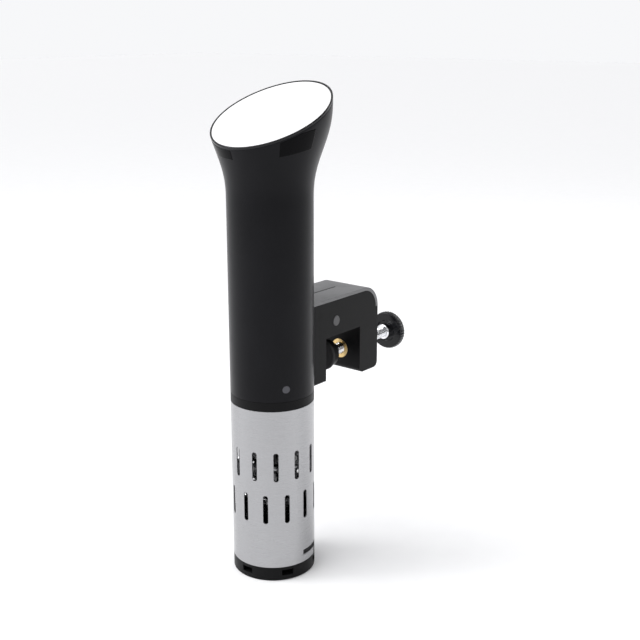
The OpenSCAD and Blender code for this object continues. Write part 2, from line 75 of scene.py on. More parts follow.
MM = 0.001
PANEL_SINK = 0.3 * MM     # how far the lens lies under the trim ring's top
SCREW_TIP = 4 * MM        # the plain tip that turns in the pad's socket
VENTS = 5
VENT_SIZE = (24 * MM, 30 * MM, 2.2 * MM)
VENT_PITCH = 4.4 * MM
FAR_FLOOR = 9             # half the floor's side, in metres


def span(node):
    """The lowest and highest corner of a CAD node, as arrays."""
    low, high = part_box(node)
    return np.array(low), np.array(high)


def body_of_node(node):
    """The name of the body that a CAD node belongs to."""
    groups = frame["record"]["behaviour"]["bodies"]
    return next(body for body, nodes in groups.items() if node in nodes)


FLANGE = span("bulkhead")
HOUSING = span("upper_housing")
BEZEL = span("face_bezel")
SKIRT = span("steel_skirt")
KNOB = span("knob")
SCREW = span("clamp_screw")
HUB = span("screw_hub")
WAIST_R = float(FLANGE[1][0])
AXIS_Y = float(FLANGE[0][1] + WAIST_R)
HEAD_R = float(BEZEL[1][1] - AXIS_Y)
SCREW_Z = float((KNOB[0][2] + KNOB[1][2]) / 2)


# ---- Sizes and colours that a user would change ----

def length(name, text, default):
    """A length property in metres."""
    return FloatProperty(name=name, description=text, default=default, min=0,
                         unit="LENGTH", subtype="DISTANCE", precision=5)


def angle(name, text, degrees):
    """An angle property, given in degrees."""
    return FloatProperty(name=name, description=text, default=math.radians(degrees),
                         unit="ROTATION", subtype="ANGLE")


def colour(name, text, default):
    """A colour property."""
    return FloatVectorProperty(name=name, description=text, default=default,
                               subtype="COLOR", size=3, min=0, max=1)


class HousingSizes(bpy.types.PropertyGroup):
    """Sizes of the flared housing and of its sloping face."""
    waist: length("Waist radius", "Radius of the straight waist", WAIST_R)
    head: length("Head radius", "Radius of the flared head", HEAD_R)
    flare: length("Flare height", "Height over which the head flares", 63 * MM)
    crown: length("Crown height", "Straight band above the flare at the back", 9 * MM)
    tilt: angle("Face slope", "Slope of the control face", 26)
    wall: length("Wall", "Wall of the housing", 2.4 * MM)
    lip_height: length("Ring height", "Height of the trim ring around the face", 1.5 * MM)
    lip_width: length("Ring width", "Width of the trim ring's top", 1.2 * MM)
    panel: length("Panel thickness", "Thickness of the face's lens", 1.2 * MM)
    window_low: length("Window height", "Lowest point of the small windows", 124.5 * MM)
    window_rise: length("Window rise", "Height of the small windows", 13 * MM)
    window_half: angle("Window half width", "Bearing from a window's middle to its end", 19)
    window_tilt: angle("Window slope", "Slope of the small windows' lower edges", 11)
    around: IntProperty(name="Columns", description="Columns around the housing",
                        default=288, min=48)


class ClampSizes(bpy.types.PropertyGroup):
    """Sizes of the clamp screw and its knob."""
    lead: length("Lead", "Travel of the screw in one turn", 2 * MM)
    thread: length("Thread depth", "Depth of the screw's thread", 0.85 * MM)
    grip_depth: length("Grip depth", "Depth of the knob's finger grooves", 0.35 * MM)
    grips: IntProperty(name="Grips", description="Finger grooves around the knob",
                       default=40, min=6)


class FinishColours(bpy.types.PropertyGroup):
    """Base colours of the main finishes."""
    black: colour("Housing", "Moulded black of the housing", (0.006, 0.006, 0.0075))
    clamp: colour("Clamp", "Textured black of the clamp", (0.0055, 0.0055, 0.006))
    face: colour("Face", "White of the control face", (0.93, 0.925, 0.93))
    cover: colour("Arm cover", "Grey of the arm's top skin", (0.12, 0.12, 0.125))
    steel: colour("Steel", "Brushed steel of the skirt", (0.4, 0.4, 0.41))


class StageSizes(bpy.types.PropertyGroup):
    """The camera and the studio around the object."""
    lens: FloatProperty(name="Lens", description="Focal length in millimetres",
                        default=60, min=20)
    camera_side: length("Camera to the right", "From the axis along +X", 0.443)
    camera_back: length("Camera forward", "From the axis along -Y", 0.504)
    camera_up: length("Camera height", "Above the clamp's rim seat", 0.205)


# ---- Shader maths ----

class Tree:
    """A node tree of a new material, or of the world. add() makes any node from its type,
    settings and inputs."""

    def __init__(self, name, owners=None):
        owners = bpy.data.materials if owners is None else owners
        self.owner = owners.new(name)
        self.owner.use_nodes = True
        self.nodes = self.owner.node_tree.nodes
        self.links = self.owner.node_tree.links
        self.nodes.clear()

    def add(self, kind, inputs, output=0, **settings):
        """A node with its settings set first, then its inputs' values or links."""
        node = self.nodes.new("ShaderNode" + kind)
        stops = settings.pop("stops", None)
        for name, value in settings.items():
            setattr(node, name, value)
        if stops:
            ramp = node.color_ramp.elements
            while len(ramp) < len(stops):
                ramp.new(0.5)
            for element, (place, grey) in zip(ramp, stops):
                element.position = place
                element.color = (*grey, 1) if hasattr(grey, "__len__") else (grey,) * 3 + (1,)
        for key, value in inputs.items():
            self.feed(node.inputs[key], value)
        return Value(self, node.outputs[output]) if len(node.outputs) else None

    def feed(self, socket, value):
        """Links a Value to the socket, or sets the socket to a constant."""
        if isinstance(value, Value):
            self.links.new(value.socket, socket)
        elif hasattr(value, "__len__") and len(value) == 3 and socket.type == "RGBA":
            socket.default_value = (*value, 1)
        else:
            socket.default_value = value

    def place(self):
        """Object coordinates, the row frame's own metres."""
        return self.add("TexCoord", {}, "Object")

    def noise(self, scale, detail=2.0, vector=None):
        """Noise from 0 to 1 with cells of about 1 / scale metres."""
        vector = vector or self.place()
        return self.add("TexNoise", {"Vector": vector, "Scale": scale, "Detail": detail}, "Fac")

    def mix(self, mask, low, high):
        """low where the mask is 0 and high where it is 1, as colours."""
        return self.add("Mix", {"Factor": mask, 6: low, 7: high}, 2, data_type="RGBA")

    def bump(self, height, distance, strength=1.0):
        """A normal from a height field, in metres of distance."""
        return self.add("Bump", {"Height": height, "Distance": distance,
                                 "Strength": strength}, "Normal")

    def finish(self, base, rough, metal=0.0, normal=None, **constants):
        """The principled shader: driven sockets first, constants on their own sockets."""
        inputs = {"Base Color": base, "Roughness": rough, "Metallic": metal}
        if normal is not None:
            inputs["Normal"] = normal
        for name, value in constants.items():
            inputs[name.replace("_", " ")] = value
        shader = self.add("BsdfPrincipled", inputs, "BSDF")
        self.add("OutputMaterial", {"Surface": shader})
        return self.owner


class Value:
    """A socket whose operators add the Math nodes that work them out."""

    def __init__(self, tree, socket):
        self.tree, self.socket = tree, socket

    def math(self, operation, *values):
        """A Math node on these values or numbers, in this order."""
        return self.tree.add("Math", dict(enumerate(values)), operation=operation)

    def __add__(self, other):
        return self.math("ADD", self, other)

    def __sub__(self, other):
        return self.math("SUBTRACT", self, other)

    def __rsub__(self, other):
        return self.math("SUBTRACT", other, self)

    def __mul__(self, other):
        return self.math("MULTIPLY", self, other)

    def __truediv__(self, other):
        return self.math("DIVIDE", self, other)

    __radd__ = __add__
    __rmul__ = __mul__

    def smooth(self, low, high):
        """0 below low, 1 above high and an eased rise between."""
        return self.tree.add("MapRange", {"Value": self, "From Min": low, "From Max": high},
                             interpolation_type="SMOOTHSTEP")


def axes_of(tree):
    """The three object coordinates as separate values."""
    return [tree.add("SeparateXYZ", {0: tree.place()}, i) for i in range(3)]


def around_axis(tree, scale_round, scale_up):
    """A vector that runs slowly around the body's axis and fast up it, for turned brushing."""
    x, y, z = axes_of(tree)
    turn = x.math("ARCTAN2", x, y - AXIS_Y)
    return tree.add("CombineXYZ", {0: turn * scale_round, 1: z * scale_up, 2: 0.0})


FINISHES = {}
MADE = {}


def finish(maker):
    """Registers a function that makes one material, called once when it is first needed."""
    FINISHES[maker.__name__] = maker
    return maker


def material(name):
    """The finished material of that name, made once. The CAD's own plain one isn't used."""
    if name not in MADE:
        MADE[name] = FINISHES[name]()
    return MADE[name]


def moulded(name, base, rough, grain, depth, **constants):
    """Moulded plastic: fine spark-eroded grain, a slow drift of gloss and faint wiping marks."""
    t = Tree(name)
    drift = t.noise(28, 3)
    wiped = t.noise(160, 4)
    fine = t.noise(grain, 3)
    dark, light = [c * 0.88 for c in base], [min(c * 1.18, 1) for c in base]
    tone = t.mix(drift.smooth(0.3, 0.75), dark, light)
    sheen = rough + (drift - 0.5) * 0.1 + wiped.smooth(0.5, 0.75) * 0.05
    return t.finish(tone, sheen, normal=t.bump(fine, depth), **constants)


def metal(name, base, rough, vector_scales=None, depth=0.00001, smudge=0.06):
    """Metal: a fine grain, drawn out around the axis where vector_scales (around, up) are given,
    and soft changes of gloss."""
    t = Tree(name)
    vector = around_axis(t, *vector_scales) if vector_scales else None
    lines = t.noise(1.0 if vector_scales else 2600, 6, vector)
    soft = t.noise(45, 3)
    tone = t.mix(lines, [c * 0.86 for c in base], [min(c * 1.1, 1) for c in base])
    gloss = rough + (lines - 0.5) * 0.18 + (soft - 0.5) * smudge
    return t.finish(tone, gloss, metal=1.0, normal=t.bump(lines, depth))


@finish
def black_plastic():
    base = list(bpy.context.scene.circulator_finish.black)
    return moulded("black_plastic", base, 0.3, 2400, 0.000012, IOR=1.22)


@finish
def bezel_plastic():
    return moulded("bezel_plastic", [0.004, 0.004, 0.0055], 0.16, 1500, 0.000004, IOR=1.35)


@finish
def clamp_plastic():
    base = list(bpy.context.scene.circulator_finish.clamp)
    return moulded("clamp_plastic", base, 0.4, 1900, 0.00004, IOR=1.2)


@finish
def cover_grey():
    base = list(bpy.context.scene.circulator_finish.cover)
    return moulded("cover_grey", base, 0.36, 1700, 0.00002, Coat_Weight=0.2, Coat_Roughness=0.25)


@finish
def grey_plastic():
    return moulded("grey_plastic", [0.055, 0.055, 0.058], 0.4, 1500, 0.00002)


@finish
def rubber():
    return moulded("rubber", [0.018, 0.018, 0.019], 0.72, 1300, 0.00006, Specular_IOR_Level=0.3)


@finish
def component():
    return moulded("component", [0.03, 0.03, 0.045], 0.35, 900, 0.00001)


@finish
def smoked_window():
    return moulded("smoked_window", [0.002, 0.002, 0.0025], 0.12, 700, 0.000002, IOR=1.15)


@finish
def panel_white():
    """A back-printed glossy lens: even white with the faintest cloud, and a clear top coat."""
    t = Tree("panel_white")
    base = list(bpy.context.scene.circulator_finish.face)
    cloud = t.noise(22, 2)
    wiped = t.noise(90, 4)
    tone = t.mix(cloud.smooth(0.35, 0.7), [c * 0.985 for c in base], base)
    sheen = 0.1 + wiped.smooth(0.45, 0.8) * 0.07
    return t.finish(tone, sheen, normal=t.bump(t.noise(400), 0.000002),
                    Coat_Weight=0.6, Coat_Roughness=0.04)


@finish
def steel():
    base = list(bpy.context.scene.circulator_finish.steel)
    return metal("steel", base, 0.27, (1.6, 5200), 0.000012)


@finish
def zinc_steel():
    return metal("zinc_steel", [0.09, 0.09, 0.1], 0.36)


@finish
def chrome():
    return metal("chrome", [0.86, 0.87, 0.89], 0.07, None, 0.000001, 0.04)


@finish
def aluminium():
    return metal("aluminium", [0.72, 0.72, 0.74], 0.38)


@finish
def brass():
    return metal("brass", [0.74, 0.54, 0.25], 0.28)


@finish
def gold_contact():
    return metal("gold_contact", [0.88, 0.64, 0.3], 0.22)


@finish
def copper():
    """Enamelled windings: fine parallel wires up the ring."""
    t = Tree("copper")
    z = axes_of(t)[2]
    wires = z.math("SINE", z * 12000)
    tone = t.mix(wires.smooth(-1, 1), [0.3, 0.1, 0.045], [0.78, 0.36, 0.18])
    return t.finish(tone, 0.32, metal=0.7, normal=t.bump(wires, 0.00008))


@finish
def board_green():
    """Solder mask over traces: long cells stand a hair proud and a little lighter."""
    t = Tree("board_green")
    cells = t.add("TexVoronoi", {"Vector": t.place(), "Scale": 260.0}, "Distance",
                  distance="MANHATTAN")
    traces = cells.smooth(0.36, 0.42)
    tone = t.mix(traces, [0.01, 0.075, 0.035], [0.03, 0.19, 0.09])
    return t.finish(tone, 0.3, normal=t.bump(traces, 0.00003))


# ---- Meshes from arrays ----

def grid_faces(rows, columns, wrap_rows=False, wrap_columns=True):
    """Quads of a grid of points, joined back to the start where a direction wraps."""
    i, j = np.meshgrid(np.arange(rows if wrap_rows else rows - 1),
                       np.arange(columns if wrap_columns else columns - 1), indexing="ij")
    down, across = (i + 1) % rows, (j + 1) % columns
    quads = [i * columns + j, i * columns + across, down * columns + across, down * columns + j]
    return np.stack(quads, -1).reshape(-1, 4)


def outward(points, faces):
    """The faces, turned round if the volume they close comes out negative."""
    a, b, c = points[faces[:, 0]], points[faces[:, 1]], points[faces[:, 2]]
    volume = np.einsum("ij,ij->i", a, np.cross(b, c)).sum()
    if faces.shape[1] == 4:
        d = points[faces[:, 3]]
        volume += np.einsum("ij,ij->i", a, np.cross(c, d)).sum()
    return faces if volume > 0 else faces[:, ::-1]


def piece(name, mesh, body, slot, sharp=35, replaces=()):
    """Puts a finished mesh in the scene: smooth but for its sharp edges, riding on its body."""
    thing = bpy.data.objects.new(name, mesh)
    bpy.context.scene.collection.objects.link(thing)
    mesh.polygons.foreach_set("use_smooth", np.ones(len(mesh.polygons), bool))
    mesh.set_sharp_from_angle(angle=math.radians(sharp))
    mesh.materials.clear()
    mesh.materials.append(material(slot))
    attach(thing, body)
    if replaces:
        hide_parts(*replaces)
    return thing


def surface(name, points, body, slot, wrap_rows=False, capped=False, sharp=35, replaces=()):
    """A piece from rows of points that close around: wrap_rows joins the last row to the first,
    and capped closes the first and last rows to their middle points."""
    rows, columns = points.shape[:2]
    flat = points.reshape(-1, 3)
    middle = flat.mean(0)
    quads = outward(flat - middle, grid_faces(rows, columns, wrap_rows))
    faces = quads.tolist()
    if capped:
        turned = quads[0, 0] != 0
        ends = np.vstack([points[0].mean(0), points[-1].mean(0)])
        ring = np.arange(columns)
        after = (ring + 1) % columns
        base = (rows - 1) * columns
        first = np.stack([np.full(columns, len(flat)), after, ring], -1)
        last = np.stack([np.full(columns, len(flat) + 1), base + ring, base + after], -1)
        fans = np.vstack([first, last])
        flat = np.vstack([flat, ends])
        faces += (fans[:, ::-1] if turned else fans).tolist()
    mesh = bpy.data.meshes.new(name)
    mesh.from_pydata(flat.tolist(), [], faces)
    mesh.update()
    return piece(name, mesh, body, slot, sharp, replaces)


def rounded(corners, steps=5):
    """A profile through (a, b, radius) corners: each corner is an arc tangent to its two sides,
    found as the quadratic blend between the points one radius before and after it."""
    track = []
    for i, (a, b, radius) in enumerate(corners):
        here = np.array([a, b], float)
        if radius == 0 or i in (0, len(corners) - 1):
            track.append(here[None])
            continue
        before = np.array(corners[i - 1][:2], float) - here
        after = np.array(corners[i + 1][:2], float) - here
        start = here + before / np.linalg.norm(before) * radius
        end = here + after / np.linalg.norm(after) * radius
        t = np.linspace(0, 1, steps)[:, None]
        track.append((1 - t) ** 2 * start + 2 * t * (1 - t) * here + t ** 2 * end)
    return np.vstack(track)


def turned(profile, columns, centre, along="z"):
    """A profile of (radius, place) rows turned about an axis through centre: each row becomes
    the circle centre + radius (cos, sin), set at its place along the axis."""
    angles = np.linspace(0, 2 * math.pi, columns, endpoint=False)
    radius, place = profile[:, :1], profile[:, 1:] + 0 * angles
    first, second = radius * np.cos(angles), radius * np.sin(angles)
    if along == "z":
        return np.stack([centre[0] + first, centre[1] + second, place], -1)
    return np.stack([centre[0] + first, place, centre[1] + second], -1)


def refined(node, name, slot, bevel=0.4 * MM, sharp=30, segments=2):
    """A merged copy of a CAD node with its flat faces dissolved and its hard edges rounded."""
    mesh = frame["nodes"][node].data.copy()
    work = bmesh.new()
    work.from_mesh(mesh)
    bmesh.ops.remove_doubles(work, verts=work.verts, dist=2e-6)
    bmesh.ops.dissolve_limit(work, angle_limit=math.radians(0.6), verts=work.verts,
                             edges=work.edges)
    work.to_mesh(mesh)
    work.free()
    mesh.name = name
    thing = piece(name, mesh, body_of_node(node), slot, sharp, (node,))
    if bevel:
        edge = thing.modifiers.new("edge", "BEVEL")
        edge.width = bevel
        edge.segments = segments
        edge.limit_method = "ANGLE"
        edge.angle_limit = math.radians(sharp)
        edge.harden_normals = False
        edge.use_clamp_overlap = True
    return thing


# ---- The housing's form ----

def eased(t):
    """10t^3 - 15t^4 + 6t^5 between 0 and 1."""
    t = np.clip(t, 0, 1)
    return t ** 3 * (10 + t * (6 * t - 15))


class Form:
    """The solid of revolution that the housing is cut from, and its sloping top plane."""

    def __init__(self, sizes):
        top = float(BEZEL[1][2])
        self.waist, self.flare = sizes.waist, sizes.head - sizes.waist
        self.height = sizes.flare
        self.foot = top - sizes.crown - sizes.flare
        self.slope, self.face_z = math.tan(sizes.tilt), top - sizes.head * math.tan(sizes.tilt)
        self.lean = math.cos(sizes.tilt)

    def radius(self, z):
        """waist + flare * eased height above the flare's foot."""
        return self.waist + self.flare * eased((z - self.foot) / self.height)

    def cut(self, bearing, inset, depth):
        """Where the form, drawn in by inset, meets the plane at depth under the face: the
        radius and the plane's height there are solved together by repeated substitution."""
        z = np.full_like(bearing, self.face_z)
        for _ in range(14):
            r = self.radius(z) - inset
            z = self.face_z - r * np.cos(bearing) * self.slope - depth / self.lean
        return r, z

    def points(self, bearing, r, z):
        """Row-frame points from a bearing (0 at -Y, a quarter turn at +X), radius and height."""
        return np.stack([r * np.sin(bearing), AXIS_Y - r * np.cos(bearing), z], -1)

    def rim(self, bearing, track):
        """Rows of the form cut by the planes of an (inset, depth) track."""
        return np.stack([self.points(bearing, *self.cut(bearing, inset, depth))
                         for inset, depth in track])


def bearings(count):
    """Evenly spaced angles once around, without the closing one."""
    return np.linspace(0, 2 * math.pi, count, endpoint=False)


# ---- Operators: one for each piece or group of like pieces ----

class CIRCULATOR_OT_housing(bpy.types.Operator):
    """Build the flared black housing"""
    bl_idname = "circulator.housing"
    bl_label = "Housing"

    def execute(self, context):
        sizes = context.scene.circulator_housing
        form = Form(sizes)
        bearing = bearings(sizes.around)
        low = float(HOUSING[0][2])
        shoulder_z = form.cut(bearing, 0.0, sizes.lip_height + 0.3 * MM)[1]
        inner_top = form.cut(bearing, sizes.wall, sizes.lip_height + 0.1 * MM)[1]
        share = np.linspace(0, 1, 150)[:, None]
        outer_z = low + 0.5 * MM + (shoulder_z - low - 0.5 * MM) * share
        outer = form.points(bearing + 0 * share, form.radius(outer_z), outer_z)
        inner_z = inner_top + (low - inner_top) * np.linspace(0, 1, 60)[:, None]
        inner = form.points(bearing + 0 * inner_z, form.radius(inner_z) - sizes.wall, inner_z)
        shoulder = form.rim(bearing, [(0.05 * MM, sizes.lip_height + 0.14 * MM),
                                      (0.16 * MM, sizes.lip_height + 0.04 * MM)])
        hem_r = form.waist - np.array([0.35, 0.1, 0.02])[:, None] * MM
        hem_z = low + np.array([0.0, 0.1, 0.3])[:, None] * MM
        hem = form.points(bearing + 0 * hem_r, hem_r + 0 * bearing, hem_z + 0 * bearing)
        rows = np.concatenate([hem, outer, shoulder, inner])
        shell = surface("housing_shell", rows, "housing", "black_plastic", wrap_rows=True,
                        sharp=50, replaces=("upper_housing",))
        self.cut_vents(shell, form)
        return {"FINISHED"}

    def cut_vents(self, shell, form):
        """Level slots through the back of the head, cut as rounded bars."""
        cutter = bpy.data.meshes.new("vent_bars")
        work = bmesh.new()
        lowest = form.foot + form.height - 8 * MM
        for i in range(VENTS):
            bar = bmesh.ops.create_cube(work, size=1)["verts"]
            bmesh.ops.scale(work, vec=VENT_SIZE, verts=bar)
            z = lowest + i * VENT_PITCH + VENT_SIZE[2] / 2
            bmesh.ops.translate(work, vec=(0, AXIS_Y + form.waist + 12 * MM, z), verts=bar)
        bmesh.ops.bevel(work, geom=[e for e in work.edges if abs(
            e.verts[0].co.y - e.verts[1].co.y) > MM], offset=1.0 * MM, segments=4, affect="EDGES")
        work.to_mesh(cutter)
        work.free()
        bars = bpy.data.objects.new("vent_bars", cutter)
        bpy.context.scene.collection.objects.link(bars)
        cut = shell.modifiers.new("vents", "BOOLEAN")
        cut.object = bars
        cut.operation = "DIFFERENCE"
        cut.solver = "EXACT"
        bpy.context.view_layer.objects.active = shell
        bpy.ops.object.modifier_apply(modifier="vents")
        bpy.data.objects.remove(bars)


class CIRCULATOR_OT_face(bpy.types.Operator):
    """Build the trim ring, the white control face and the small windows"""
    bl_idname = "circulator.face"
    bl_label = "Control face"

    def execute(self, context):
        sizes = context.scene.circulator_housing
        form = Form(sizes)
        bearing = bearings(sizes.around)
        lip, wide, panel = sizes.lip_height, sizes.lip_width, sizes.panel
        track = rounded([
            (0.4 * MM, lip, 0), (0.02 * MM, lip, 0.1 * MM), (0.02 * MM, 0.0, 0.5 * MM),
            (wide, 0.0, 0.22 * MM), (wide, lip, 0)])
        surface("bezel_ring", form.rim(bearing, track), "housing", "bezel_plastic",
                wrap_rows=True, sharp=50, replaces=("face_bezel",))
        self.lens(form, bearing, wide, panel)
        self.window(form, sizes, "front_status_window", -20, ("front_window",))
        self.window(form, sizes, "right_status_window", 70, ("side_windows",))
        self.window(form, sizes, "left_status_window", 250, ("side_windows",))
        return {"FINISHED"}

    def lens(self, form, bearing, wide, panel):
        """The lens: rings that shrink towards the middle, each point middle + share * (rim -
        middle), with a dome of 0.15 mm (1 - share^2), a rounded edge and a flat back."""
        rim, flat, back = wide + 0.05 * MM, wide + 0.6 * MM, PANEL_SINK + panel
        edge = form.rim(bearing, rounded([
            (flat, PANEL_SINK, 0), (rim, PANEL_SINK, 0.3 * MM), (rim, back, 0.2 * MM),
            (flat, back, 0)]))
        normal = np.array([0, -math.sin(math.atan(form.slope)), form.lean])
        shares = np.array([0.04, 0.2, 0.4, 0.6, 0.75, 0.87, 0.95])[:, None, None]
        middle = edge[0].mean(0)
        dome = 0.15 * MM * (1 - shares ** 2) * normal
        top = middle + shares * (edge[0] - middle) + dome
        below = edge[-1].mean(0) + shares[::-1] * (edge[-1] - edge[-1].mean(0))
        surface("control_lens", np.concatenate([top, edge, below]), "housing", "panel_white",
                capped=True, sharp=50, replaces=("control_panel",))

    def window(self, form, sizes, name, bearing, replaces):
        """A window that follows the housing between two curves over its bearings: a sloping lower
        edge, low + r (1 - cos bearing) tan(slope), and an upper one one rise above it or just
        under the trim ring. It stands 0.12 mm proud in its middle, sinks at its border and is
        closed by the same patch further in."""
        half = math.degrees(sizes.window_half)
        turn = np.radians(np.linspace(bearing - half, bearing + half, 48))
        reach = form.radius(np.full_like(turn, sizes.window_low))
        low = sizes.window_low + reach * (1 - np.cos(turn)) * math.tan(sizes.window_tilt)
        limit = form.cut(turn, 0.0, sizes.lip_height + 0.55 * MM)[1]
        high = np.minimum(low + sizes.window_rise, limit)
        t, s = np.linspace(0, 1, 28)[:, None], np.linspace(0, 1, 48)[None]
        z = low + (high - low) * t
        border = np.minimum(np.minimum(t, 1 - t) * 14, np.minimum(s, 1 - s) * 30)
        proud = 0.12 * MM - 0.3 * MM * (1 - eased(border / 0.6))
        front = form.points(turn + 0 * z, form.radius(z) + proud, z)
        back = form.points(turn + 0 * z, form.radius(z) - 0.65 * MM, z)
        rows, columns = front.shape[:2]
        flat = np.concatenate([front.reshape(-1, 3), back.reshape(-1, 3)])
        face = grid_faces(rows, columns, wrap_columns=False)
        ring = np.concatenate([np.arange(columns), np.arange(1, rows) * columns + columns - 1,
                               (rows - 1) * columns + np.arange(columns - 2, -1, -1),
                               np.arange(rows - 2, 0, -1) * columns])
        after, shift = np.roll(ring, -1), rows * columns
        side = np.stack([ring, ring + shift, after + shift, after], -1)
        faces = np.concatenate([face, face[:, ::-1] + shift, side])
        mesh = bpy.data.meshes.new(name)
        mesh.from_pydata(flat.tolist(), [], outward(flat - flat.mean(0), faces).tolist())
        mesh.update()
        piece(name, mesh, "housing", "smoked_window", 50, replaces)


class CIRCULATOR_OT_clamp(bpy.types.Operator):
    """Build the clamp's bracket, its cover and the small parts on it"""
    bl_idname = "circulator.clamp"
    bl_label = "Clamp"

    def execute(self, context):
        refined("clamp_bracket", "clamp_body", "clamp_plastic", 0.7 * MM, segments=3)
        refined("clamp_cover", "clamp_top_skin", "cover_grey", 0.35 * MM)
        refined("pin_caps", "pin_cap_pair", "grey_plastic", 0.35 * MM, segments=3)
        refined("wall_strip", "rubber_wall_strip", "rubber", 0.5 * MM, segments=3)
        refined("threaded_insert", "brass_insert", "brass", 0.3 * MM)
        refined("pad_cup", "pad_socket", "clamp_plastic", 0.5 * MM, segments=3)
        refined("pressure_pad", "pad_face", "rubber", 0.9 * MM, segments=4)
        return {"FINISHED"}


class CIRCULATOR_OT_thumb_screw(bpy.types.Operator):
    """Build the threaded screw, its chromed hub and the knob"""
    bl_idname = "circulator.thumb_screw"
    bl_label = "Thumb screw"

    def execute(self, context):
        sizes = context.scene.circulator_clamp
        centre = (0.0, SCREW_Z)
        self.screw(sizes)
        hub_r, y0, y1 = float(HUB[1][0]), float(HUB[0][1]), float(HUB[1][1])
        profile = rounded([
            (4.0 * MM, y0, 0), (hub_r - 0.9 * MM, y0, 0.3 * MM), (hub_r, y0 + 0.9 * MM, 0.4 * MM),
            (hub_r, y1 - 1.6 * MM, 0.3 * MM), (hub_r - 0.7 * MM, y1 - 1.1 * MM, 0.2 * MM),
            (hub_r - 0.7 * MM, y1, 0), (4.0 * MM, y1, 0)])
        surface("chrome_hub", turned(profile, 64, centre, "y"), "thumb_screw", "chrome",
                wrap_rows=True, replaces=("screw_hub",))
        self.knob(sizes, centre)
        return {"FINISHED"}

    def screw(self, sizes):
        """The screw: radius = major - depth * wave(y / lead - turn), a trapezoid wave clipped
        from a triangle, fading out where the plain tip and the knob's end begin."""
        y0, y1 = float(SCREW[0][1]), float(SCREW[1][1])
        major = float(SCREW[1][0])
        tip_end, tip_r = y0 + SCREW_TIP, major - 1.02 * MM
        y = np.linspace(tip_end, y1, 420)[:, None]
        turn = bearings(36)[None]
        phase = (y / sizes.lead - turn / (2 * math.pi)) % 1.0
        wave = np.clip(2.2 * (1 - np.abs(2 * phase - 1)) - 0.6, 0, 1)
        fade = eased((y - tip_end) / (1.5 * MM)) * eased((y1 - 8 * MM - y) / (2 * MM))
        r = major - sizes.thread * wave * fade
        rows = np.stack([r * np.cos(turn), y + 0 * turn, SCREW_Z + r * np.sin(turn)], -1)
        tip = turned(rounded([(1.6 * MM, y0, 0), (tip_r, y0, 0.5 * MM),
                              (tip_r, tip_end, 0.1 * MM), (major - 0.5 * MM, tip_end, 0)]),
                     turn.shape[1], (0.0, SCREW_Z), "y")
        surface("thread_rod", np.concatenate([tip, rows]), "thumb_screw", "chrome", capped=True,
                sharp=60, replaces=("clamp_screw",))

    def knob(self, sizes, centre):
        """The knob: a turned disc whose rim is grooved by depth * (0.5 + 0.5 cos(grips * turn)),
        strongest at mid rim and gone on its faces."""
        r, y0, y1 = float(KNOB[1][0]), float(KNOB[0][1]), float(KNOB[1][1])
        profile = rounded([
            (4.1 * MM, y0 + 0.5 * MM, 0), (7.4 * MM, y0 + 0.5 * MM, 0.3 * MM),
            (8.2 * MM, y0, 0.4 * MM), (r - 0.6 * MM, y0, 0.5 * MM), (r, y0 + 1.2 * MM, 0.6 * MM),
            (r, y1 - 1.6 * MM, 0.9 * MM), (r - 1.8 * MM, y1, 0.9 * MM),
            (r - 3.6 * MM, y1 - 0.1 * MM, 0.5 * MM), (r - 5.0 * MM, y1 - 0.7 * MM, 0.7 * MM),
            (0.4 * MM, y1 - 0.5 * MM, 0)], 6)
        rows = turned(profile, 240, centre, "y")
        turn = bearings(240)[None]
        share = np.clip((profile[:, :1] - (r - 1.0 * MM)) / (0.8 * MM), 0, 1)
        groove = sizes.grip_depth * (0.5 + 0.5 * np.cos(sizes.grips * turn)) * eased(share)
        shrink = 1 - groove / np.maximum(profile[:, :1], MM)
        rows[..., 0] *= shrink
        rows[..., 2] = SCREW_Z + (rows[..., 2] - SCREW_Z) * shrink
        surface("clamp_knob", rows, "thumb_screw", "bezel_plastic", capped=True, sharp=45,
                replaces=("knob",))


class CIRCULATOR_OT_lower_body(bpy.types.Operator):
    """Build the bulkhead, the skirt, the end cap and the parts under the waist"""
    bl_idname = "circulator.lower_body"
    bl_label = "Lower body"

    def execute(self, context):
        refined("bulkhead", "bulkhead_plug", "clamp_plastic", 0.35 * MM)
        refined("steel_skirt", "slotted_skirt", "steel", 0.12 * MM, segments=1)
        refined("end_cap", "outlet_cap", "clamp_plastic", 0.4 * MM)
        refined("heater_coil", "heater_tube", "steel", 0, sharp=80)
        refined("impeller", "pump_impeller", "clamp_plastic", 0.25 * MM)
        refined("cord_gland", "cord_gland_collar", "rubber", 0.5 * MM, segments=3)
        refined("housing_screws", "waist_screws", "zinc_steel", 0.2 * MM)
        return {"FINISHED"}


class CIRCULATOR_OT_inner_parts(bpy.types.Operator):
    """Give every carried-over CAD node its finish"""
    bl_idname = "circulator.inner_parts"
    bl_label = "Inner parts"

    def execute(self, context):
        for entry in frame["record"]["subparts"]:
            node = frame["nodes"][entry["node"]]
            node.data.materials.clear()
            node.data.materials.append(material(entry["material_slot"]))
        return {"FINISHED"}


